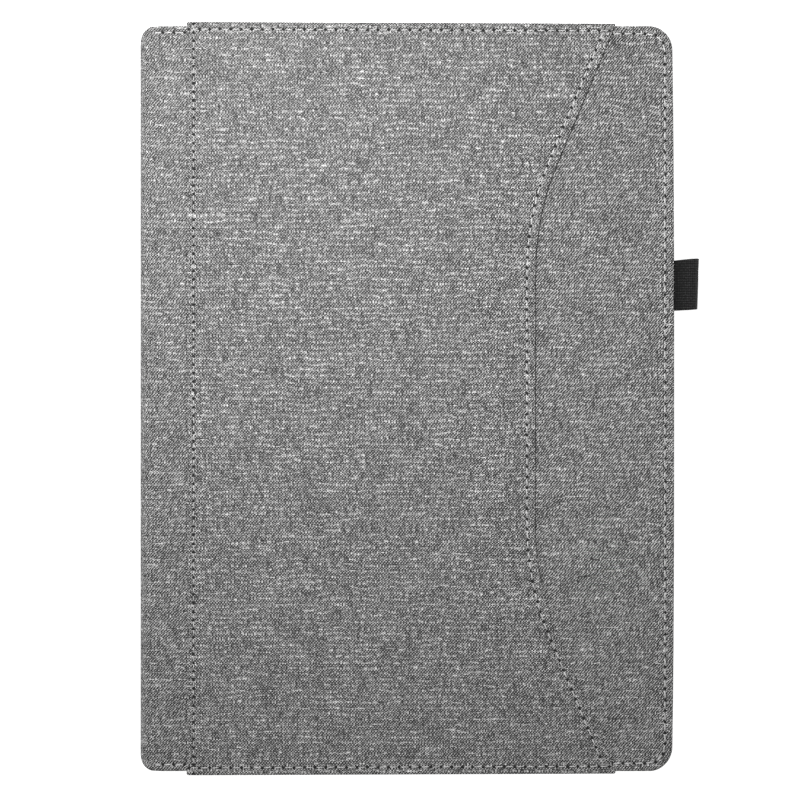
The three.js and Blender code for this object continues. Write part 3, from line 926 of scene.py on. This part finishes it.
def panel_seam(name, places, pitch, width):
    """A row of stitches on the pocket, through places in plan."""
    path = [drawn_in(Vector((x, y, POCKET_TOP + pocket_relief(x, y) + 0.02 * MM))) for x, y in places]
    piece = sewn(name, path, [UP] * len(path), pitch, width)
    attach(piece, "front_cover")


def pocket_seams():
    reach = POCKET_HALF - 0.9 * MM
    half = POCKET_HALF - PANEL_END_SEAM
    side = [(POCKET_LEFT + PANEL_SIDE_SEAM, y) for y in spread(-reach, reach, 0.5 * MM)]
    panel_seam("pocket_side_seam", side, 3.5 * MM, 0.3 * MM)
    edge = [(pocket_edge(y) - POCKET_SEAM * slant(y), y) for y in spread(-half, half, 0.5 * MM)]
    panel_seam("pocket_edge_seam", edge, 4.3 * MM, 0.5 * MM)
    for name, y in (("pocket_low_end_seam", -half), ("pocket_high_end_seam", half)):
        line = spread(POCKET_LEFT + 1.0 * MM, pocket_edge(y) - 1.5 * MM, 0.5 * MM)
        panel_seam(name, [(x, y) for x in line], 4.35 * MM, 0.42 * MM)


# ==== Pen loop


LOOP_LOW, LOOP_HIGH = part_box("pen_loop")
LOOP_WALL = 1.0 * MM
LOOP_OUTER_X = LOOP_HIGH.x + 0.3 * MM
LOOP_ROOT_X = OPENING_X - 0.4 * MM
LOOP_STEPS = 56


def loop_point(angle, shrink, share):
    """A point of the band at an angle round its tube, share from -1 to 1 across the band."""
    half_x = (LOOP_OUTER_X - LOOP_ROOT_X) / 2
    half_z = (LOOP_HIGH.z - LOOP_LOW.z) / 2 - 0.3 * MM
    reach = math.cos(angle)
    pinch = 0.2 + 0.8 * min(1.0, (reach + 1) / 1.2)
    x = LOOP_ROOT_X + half_x + (half_x - shrink) * math.copysign(abs(reach) ** 0.75, reach)
    z = (LOOP_HIGH.z + LOOP_LOW.z) / 2 + (half_z - shrink) * math.sin(angle) * pinch
    out = (x - LOOP_ROOT_X) / (LOOP_OUTER_X - LOOP_ROOT_X)
    low_y = LOOP_LOW.y + (0.6 * out - 0.3) * MM
    high_y = LOOP_HIGH.y - 1.0 * MM * (1 - out)
    y = low_y + (high_y - low_y) * (share + 1) / 2
    return Vector((x - 0.7 * MM * (1 - share) / 2 * out, y, z))


def loop_ring(loft, shrink, share):
    ring, run = [], 0.0
    angles = [math.pi - 2 * math.pi * i / LOOP_STEPS for i in range(LOOP_STEPS + 1)]
    points = [loop_point(angle, shrink, share) for angle in angles]
    for before, point in zip(points[:1] + points, points):
        run += (point - before).length
        ring.append(loft.add(point, (run, point.y)))
    return ring


def pen_loop():
    """Elastic band folded into a flat tube, wider at its outer side."""
    loft = Loft()
    edge = 2 * 0.35 * MM / (LOOP_HIGH.y - LOOP_LOW.y)
    shares = [(-1 + 2 * i / 24) * (1 - edge) for i in range(25)]
    outer = [loop_ring(loft, 0.0, share) for share in shares]
    low_edge = [loop_ring(loft, LOOP_WALL * depth, -1.0) for depth in (0.25, 0.75)]
    high_edge = [loop_ring(loft, LOOP_WALL * depth, 1.0) for depth in (0.75, 0.25)]
    inner = [loop_ring(loft, LOOP_WALL, share) for share in shares]
    loft.sheet(outer + high_edge[::-1] + inner[::-1] + low_edge[::-1] + outer[:1])
    band = dress(loft.make("pen_loop_elastic"), ELASTIC)
    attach(band, "front_cover")
    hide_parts("pen_loop")


# ==== Keyboard, tray and stand


def softened(node, name, material, body, width):
    """The node's own shape with its edges rounded."""
    piece = link(bpy.data.objects.new(name, bpy.data.objects[node].data.copy()))
    mesh = piece.data
    work = bmesh.new()
    work.from_mesh(mesh)
    bmesh.ops.remove_doubles(work, verts=work.verts, dist=1e-6)
    bmesh.ops.dissolve_limit(work, angle_limit=math.radians(1), verts=work.verts, edges=work.edges)
    work.to_mesh(mesh)
    work.free()
    bevel = piece.modifiers.new("round", "BEVEL")
    bevel.width = width
    bevel.segments = 3
    bevel.angle_limit = math.radians(35)
    bevel.limit_method = "ANGLE"
    bevel.harden_normals = True
    split = piece.modifiers.new("split", "TRIANGULATE")
    split.min_vertices = 5
    split.keep_custom_normals = True
    mesh.polygons.foreach_set("use_smooth", [True] * len(mesh.polygons))
    piece.data = evaluated_mesh(piece)
    piece.modifiers.clear()
    dress(piece, material)
    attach(piece, body)
    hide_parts(node)


KEY_ROWS = {
    "function_key_row": [1] * 15,
    "number_key_row": [1] * 13 + [2],
    "upper_key_row": [1.5] + [1] * 12 + [1.5],
    "home_key_row": [1.75] + [1] * 11 + [2.25],
    "lower_key_row": [2.25] + [1] * 10 + [2.75],
    "left_modifier_keys": [1.25, 1, 1, 1.25],
    "space_bar": [5.5],
    "right_modifier_keys": [1] * 5,
}
KEY_GAP = 3 * MM

# Cloth hinges: thickness, half the bend's length, and how far from the axis the glue starts
STRIP_THICK = 0.6 * MM
HINGE_REACH = 2.2 * MM
HINGE_GAP = 3 * MM


def key_places(name):
    """The caps of a row: low and high corners in plan, from its packed box and its widths."""
    low_corner, high_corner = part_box(name)
    widths = KEY_ROWS[name]
    unit = (high_corner.y - low_corner.y + KEY_GAP) / sum(widths)
    edge = high_corner.y + KEY_GAP / 2
    places = []
    for index, width in enumerate(widths):
        y0, y1 = edge - width * unit + KEY_GAP / 2, edge - KEY_GAP / 2
        edge -= width * unit
        x0, x1 = low_corner.x, high_corner.x
        if name == "right_modifier_keys" and index == 3:
            middle = (x0 + x1) / 2
            places += [(x0, middle - 0.8 * MM, y0, y1), (middle + 0.8 * MM, x1, y0, y1)]
        else:
            places.append((x0, x1, y0, y1))
    return places


def key_row(name):
    """Caps with rolled edges and a faint dish, facing down while the case is closed."""
    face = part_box(name)[0].z
    # How far in, how deep and corner radius, in millimetres
    profile = ((0.0, 2.2, 1.5), (0.0, 0.55, 1.5), (0.12, 0.22, 1.45), (0.38, 0.05, 1.3),
               (0.75, 0.0, 1.1), (2.4, 0.06, 0.9), (4.0, 0.10, 0.5))
    loft = Loft()
    for x0, x1, y0, y1 in key_places(name):
        loops = []
        for inset, deep, radius in profile:
            inset = min(inset * MM, (x1 - x0) / 2 - 0.6 * MM)
            outline = rounded_rectangle(x0, x1, y0, y1, radius * MM, 4, -inset)
            loops.append([loft.add(Vector((x, y, face + deep * MM)), (x, y)) for x, y in outline])
        loft.tube(loops)
        loft.faces += [tuple(reversed(loops[-1])), tuple(loops[0])]
    piece = loft.make(name + "_caps")
    for polygon in piece.data.polygons:
        polygon.use_smooth = len(polygon.vertices) == 4
    dress(piece, KEY_PLASTIC)
    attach(piece, name)
    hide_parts(name)


def plate_outlines(bevel):
    """The top plate's outline, and its openings for the keys, the touchpad and the light."""
    low_corner, high_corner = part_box("keyboard_frame")
    clear = 0.5 * MM + bevel
    yield rounded_rectangle(low_corner.x, high_corner.x, low_corner.y, high_corner.y, 7 * MM, 8, -bevel)
    for name in KEY_ROWS:
        for place in key_places(name):
            yield rounded_rectangle(*place, 1.9 * MM, 4, clear)
    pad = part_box("touchpad")
    yield rounded_rectangle(pad[0].x, pad[1].x, pad[0].y, pad[1].y, 3 * MM, 5, clear)
    light = sum(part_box("status_light"), Vector()) / 2
    reach = 1.3 * MM + bevel
    yield rounded_rectangle(light.x, light.x, light.y, light.y, reach, 5, reach)


def keyboard_frame():
    """Top plate of the keyboard, cut out with a bevel at every edge."""
    low_corner, high_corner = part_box("keyboard_frame")
    bevel = 0.2 * MM
    curve = bpy.data.curves.new("keyboard_plate", "CURVE")
    curve.dimensions = "2D"
    curve.fill_mode = "BOTH"
    for outline in plate_outlines(bevel):
        spline = curve.splines.new("POLY")
        spline.points.add(len(outline) - 1)
        for point, (x, y) in zip(spline.points, outline):
            point.co = (x, y, 0, 1)
        spline.use_cyclic_u = True
    curve.extrude = (high_corner.z - low_corner.z) / 2 - bevel
    curve.bevel_depth = bevel
    curve.bevel_resolution = 2
    plate = link(bpy.data.objects.new("keyboard_plate", curve))
    plate.location.z = (low_corner.z + high_corner.z) / 2
    bpy.context.view_layer.update()
    mesh = evaluated_mesh(plate)
    mesh.transform(plate.matrix_world)
    bpy.data.objects.remove(plate)
    piece = link(bpy.data.objects.new("keyboard_top_plate", mesh))
    dress(piece, SHELL)
    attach(piece, "front_cover")
    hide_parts("keyboard_frame")


def strip_cloth(name, stations, half):
    """A flat band of cloth along Y, through stations of x and z."""
    loft = Loft()
    ring = [(x, z + STRIP_THICK / 2) for x, z in stations]
    ring += [(x, z - STRIP_THICK / 2) for x, z in reversed(stations)]
    loops = [[loft.add(Vector((x, y, z)), (x, y)) for x, z in ring] for y in spread(-half, half, 10 * MM)]
    loft.tube(loops)
    for k, loop in enumerate((loops[0], loops[-1])):
        for i in range(len(stations) - 1):
            face = (loop[i], loop[i + 1], loop[-i - 2], loop[-i - 1])
            loft.faces.append(face if k else tuple(reversed(face)))
    piece = loft.make(name)
    for polygon in piece.data.polygons:
        polygon.use_smooth = False
    return dress(piece, LINING)


def joint_place(name):
    return next(joint for joint in frame["joints"] if joint["name"] == name)["pos_m"]


def hinge_cloths():
    """Cloth hinges of the tray and of its leg, glued down on both sides of a bend."""
    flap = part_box("tray_hinge_flap")
    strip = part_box("tray_hinge_strip")
    pivot_z = (strip[0].z + strip[1].z) / 2
    near_z = flap[0].z + 0.35 * MM
    far_z = strip[1].z - STRIP_THICK / 2
    x, _, z = joint_place("tray_tilt")
    stations = [(place, near_z) for place in spread(flap[0].x, x - HINGE_GAP, 2 * MM)]
    for t in (-0.8, -0.4, 0, 0.4, 0.8):
        climb = (far_z - pivot_z) * max(t, 0) + (pivot_z - near_z) * min(t, 0)
        stations.append((x + HINGE_REACH * t, pivot_z + climb))
    stations += [(place, far_z) for place in spread(x + HINGE_GAP, strip[1].x, 2 * MM)]
    cloth = strip_cloth("tray_hinge_cloth", stations, flap[1].y)
    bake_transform(cloth)
    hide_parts("tray_hinge_flap", "tray_hinge_strip")

    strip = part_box("leg_hinge_strip")
    high_z = strip[1].z - STRIP_THICK / 2
    x, _, z = joint_place("leg_fold")
    stations = [(place, high_z) for place in spread(strip[0].x, x - HINGE_GAP, 2 * MM)]
    for t in (-0.8, -0.4, 0):
        stations.append((x + HINGE_REACH * t, pivot_z + (high_z - pivot_z) * max(-t, 0)))
    stations += [(x + step * MM, pivot_z) for step in (0.5, 1.0, 1.6)]
    cloth = strip_cloth("leg_hinge_cloth", stations, strip[1].y)
    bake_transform(cloth)
    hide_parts("leg_hinge_strip")


def inner_pieces():
    for name in KEY_ROWS:
        key_row(name)
    keyboard_frame()
    softened("keyboard_base", "keyboard_shell_case", SHELL, "front_cover", 0.4 * MM)
    softened("touchpad", "touchpad_plate", PAD, "touchpad", 0.25 * MM)
    softened("power_switch", "power_switch_knob", KEY_PLASTIC, "power_switch", 0.2 * MM)
    softened("tray_shell", "tray_moulding", TRAY_PLASTIC, "tablet_tray", 0.35 * MM)
    softened("leg_board", "leg_cover", LINING, "prop_leg", 0.5 * MM)
    for corner in ("near_left", "near_right", "far_left", "far_right"):
        name = "corner_grip_" + corner
        softened("corner_hook_" + corner, name, RUBBER, "tablet_tray", 0.2 * MM)
    for side in ("left", "right"):
        name = "bumper_strip_" + side
        softened("screen_bumper_" + side, name, RUBBER, "front_cover", 0.1 * MM)
    hinge_cloths()


CARRIED = {
    "back_board": BOARD, "spine_board": BOARD, "front_board": BOARD,
    "pocket_lining": LINING, "tray_bed": LINING,
    "foot_grip": RUBBER, "leg_foot": RUBBER,
    "back_magnet_left": MAGNET, "back_magnet_right": MAGNET,
    "front_magnet_left": MAGNET, "front_magnet_right": MAGNET,
    "charge_port": STEEL, "status_light": LENS,
    "dome_sheet": DOME, "circuit_sheet": CIRCUIT, "controller_board": CIRCUIT, "battery": CELL,
}


def dress_nodes():
    """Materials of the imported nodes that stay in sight."""
    for name, material in CARRIED.items():
        for slot in bpy.data.objects[name].material_slots:
            slot.material = material


# ==== Stage

WHITE = (1, 1, 1, 1)
FLOOR_HALF = 4
CAMERA_HEIGHT = 1.6
VIEW_WIDTH = 328.9 * MM

def area_light(name, place, target, size, power):
    data = bpy.data.lights.new(name, "AREA")
    data.size = size
    data.energy = power
    light = link(bpy.data.objects.new(name, data))
    light.visible_camera = False
    light.location = place
    light.rotation_euler = (Vector(target) - Vector(place)).to_track_quat("-Z", "Y").to_euler()


def floor():
    corners = [(x * FLOOR_HALF, y * FLOOR_HALF, 0) for x, y in ((-1, -1), (1, -1), (1, 1), (-1, 1))]
    ground = mesh_object("floor", corners, [(0, 1, 2, 3)])
    ground.location.z = -0.4 * MM
    nodes = Nodes("pale_floor")
    cloud = nodes.solid_noise(2, 1.0)
    nodes.colour(cloud, (0.0, grey(0.90)), (1.0, grey(0.93)))
    nodes.set("Roughness", 0.9)
    nodes.set("Emission Color", WHITE)
    nodes.set("Emission Strength", 0.88)
    dress(ground, nodes.material)


def lights():
    world = bpy.data.worlds.new("studio")
    world.use_nodes = True
    background = world.node_tree.nodes["Background"]
    background.inputs["Color"].default_value = WHITE
    background.inputs["Strength"].default_value = 0.31
    bpy.context.scene.world = world
    area_light("key", (-0.06, 0.16, 0.39), (0, 0.04, 0), 0.07, 2.75)
    area_light("fill", (-0.8, -0.2, 0.9), (0, 0, 0), 0.9, 1.3)


def camera():
    """Straight above the closed case. VIEW_WIDTH is what it sees at the height of the pocket."""
    data = bpy.data.cameras.new("camera")
    view = link(bpy.data.objects.new("camera", data))
    data.sensor_width = 36
    data.lens = data.sensor_width * (CAMERA_HEIGHT - POCKET_TOP) / VIEW_WIDTH
    data.clip_end = 20
    view.location = (-7.9 * MM, -0.6 * MM, CAMERA_HEIGHT)
    bpy.context.scene.camera = view


def stage():
    scene = bpy.context.scene
    scene.view_settings.view_transform = "Standard"
    # Keep the fine weave from being smoothed away
    scene.cycles.denoising_prefilter = "NONE"
    floor()
    lights()
    camera()


stage()
covers()
linings()
camera_bezel()
pocket()
cover_seams()
pocket_seams()
pen_loop()
inner_pieces()
dress_nodes()
